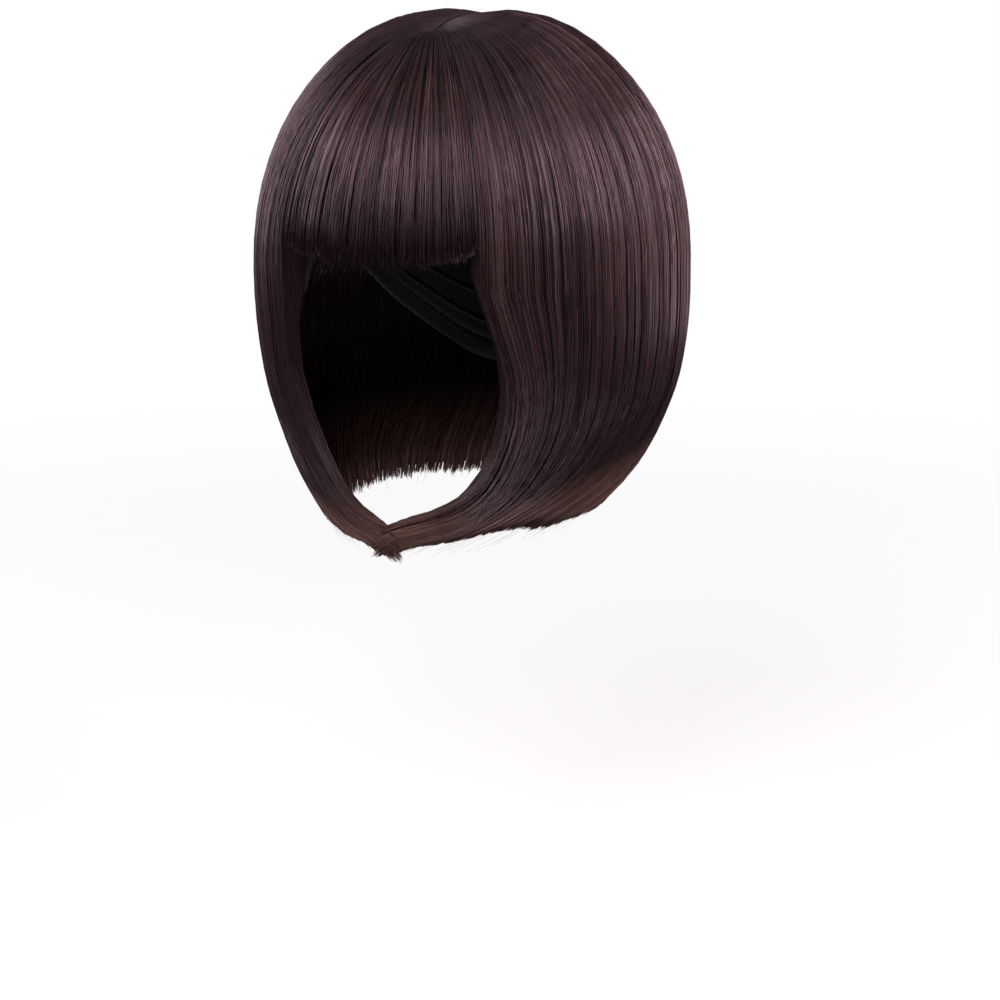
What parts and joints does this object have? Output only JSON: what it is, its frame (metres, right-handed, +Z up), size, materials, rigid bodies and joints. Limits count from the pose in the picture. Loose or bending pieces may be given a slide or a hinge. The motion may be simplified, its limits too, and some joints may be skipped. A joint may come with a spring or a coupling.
{
  "type": "bob wig",
  "caption": "Smooth chin-length bob wig with a full straight fringe and inward-curving ends, hair in locks over a stretch cap that is open for the head.",
  "frame": {"origin": "inner apex of the cap, where the crown of the head touches it", "axes": "+Z up, the wearer faces -Y, +X towards the wearer's left"},
  "size_m": [0.2, 0.216, 0.237],
  "materials": {
    "hair": "smooth straight dark-brown synthetic hair fibre with a satin sheen",
    "cap_net": "dark knitted stretch net",
    "band_elastic": "woven elastic band",
    "scalp_net": "scalp-coloured fine net"
  },
  "bodies": {
    "root": {"cap": "cap_net", "cap_band": "band_elastic", "parting_strip": "scalp_net", "fringe": "hair", "front_lock_left": "hair", "front_lock_right": "hair", "side_hair_left": "hair", "side_hair_right": "hair", "back_hair_left": "hair", "back_hair_right": "hair"}
  },
  "joints": []
}
